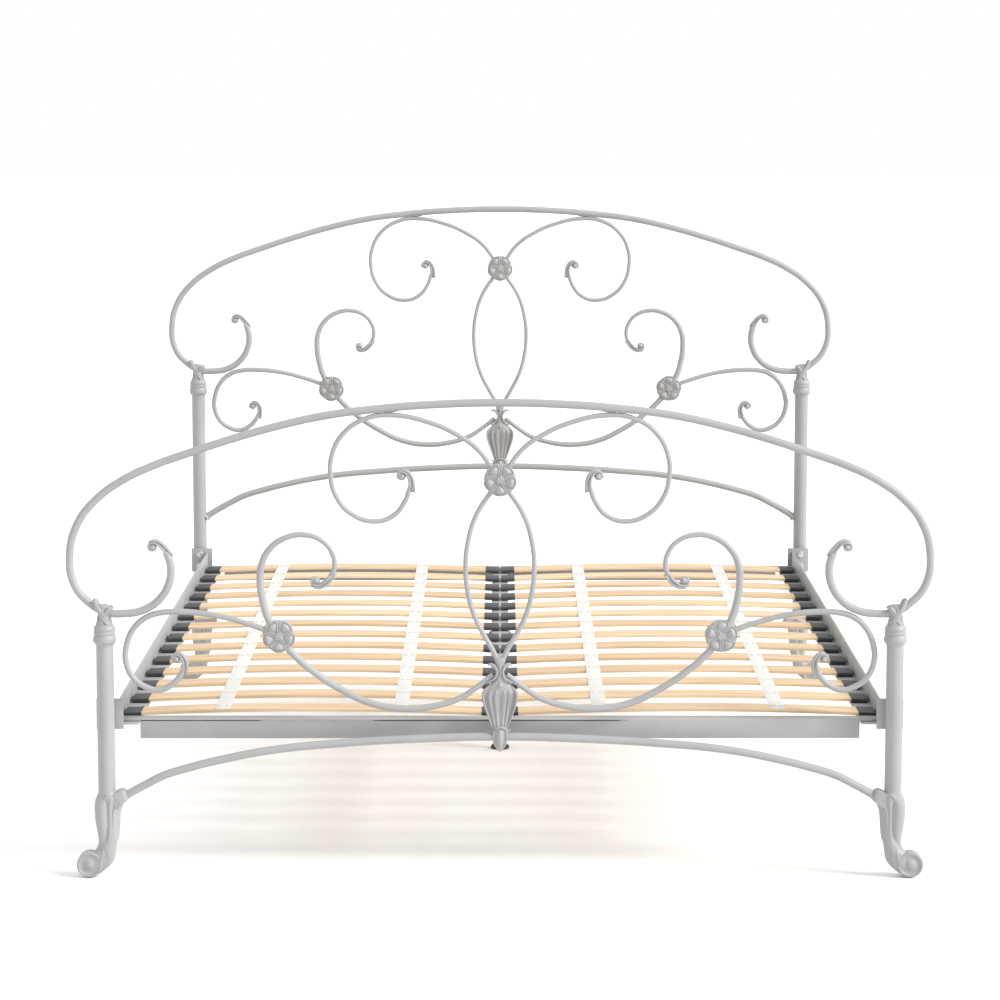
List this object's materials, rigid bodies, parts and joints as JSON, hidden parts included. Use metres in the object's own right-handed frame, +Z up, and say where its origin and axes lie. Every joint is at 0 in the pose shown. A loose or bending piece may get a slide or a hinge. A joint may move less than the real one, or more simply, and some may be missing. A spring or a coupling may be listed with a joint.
{
  "type": "metal bed frame",
  "caption": "Double bed frame with arched, scrolled iron headboard and footboard, cast rosettes and curled feet, angle side rails and a slatted base.",
  "frame": {"origin": "on the floor, midway between the headboard and the footboard and midway between the posts", "axes": "+X to the right seen from the foot end, +Y from the footboard to the headboard, +Z up"},
  "size_m": [1.72, 2.1068, 1.2495],
  "materials": {
    "paint": "satin",
    "slat_wood": "satin",
    "bolt_steel": "satin",
    "pad_plastic": "matte"
  },
  "bodies": {
    "frame": {"footboard_arch_tube": "paint", "footboard_lower_rail": "paint", "footboard_centre_rosette": "paint", "footboard_urn_casting": "paint", "footboard_left_crown_scroll": "paint", "footboard_right_crown_scroll": "paint", "footboard_left_centre_bar": "paint", "footboard_right_centre_bar": "paint", "footboard_left_s_scroll": "paint", "footboard_right_s_scroll": "paint", "footboard_left_side_scroll": "paint", "footboard_right_side_scroll": "paint", "footboard_left_collar": "paint", "footboard_right_collar": "paint", "footboard_left_foot_casting": "paint", "footboard_right_foot_casting": "paint", "footboard_left_post": "paint", "footboard_right_post": "paint", "footboard_left_rosette": "paint", "footboard_right_rosette": "paint", "headboard_arch_tube": "paint", "headboard_lower_rail": "paint", "headboard_centre_rosette": "paint", "headboard_urn_casting": "paint", "headboard_left_crown_scroll": "paint", "headboard_right_crown_scroll": "paint", "headboard_left_centre_bar": "paint", "headboard_right_centre_bar": "paint", "headboard_left_s_scroll": "paint", "headboard_right_s_scroll": "paint", "headboard_left_side_scroll": "paint", "headboard_right_side_scroll": "paint", "headboard_left_collar": "paint", "headboard_right_collar": "paint", "headboard_left_foot_casting": "paint", "headboard_right_foot_casting": "paint", "headboard_left_post": "paint", "headboard_right_post": "paint", "headboard_left_rosette": "paint", "headboard_right_rosette": "paint", "side_rail_left": "paint", "side_rail_right": "paint", "cross_rail_head": "paint", "cross_rail_foot": "paint", "centre_rail": "paint", "centre_leg": "paint", "slat_roll_left": "slat_wood", "slat_roll_right": "slat_wood", "rail_bolt_head_left_lower": "bolt_steel", "rail_bolt_head_left_upper": "bolt_steel", "rail_bolt_head_right_lower": "bolt_steel", "rail_bolt_head_right_upper": "bolt_steel", "rail_bolt_foot_left_lower": "bolt_steel", "rail_bolt_foot_left_upper": "bolt_steel", "rail_bolt_foot_right_lower": "bolt_steel", "rail_bolt_foot_right_upper": "bolt_steel"},
    "levelling_screw": {"levelling_foot": "pad_plastic"}
  },
  "joints": [
    {"name": "centre_leg_levelling", "type": "slide", "parent": "frame", "child": "levelling_screw", "axis": [0, 0, 1], "range_m": [-0.015, 0.01]}
  ]
}
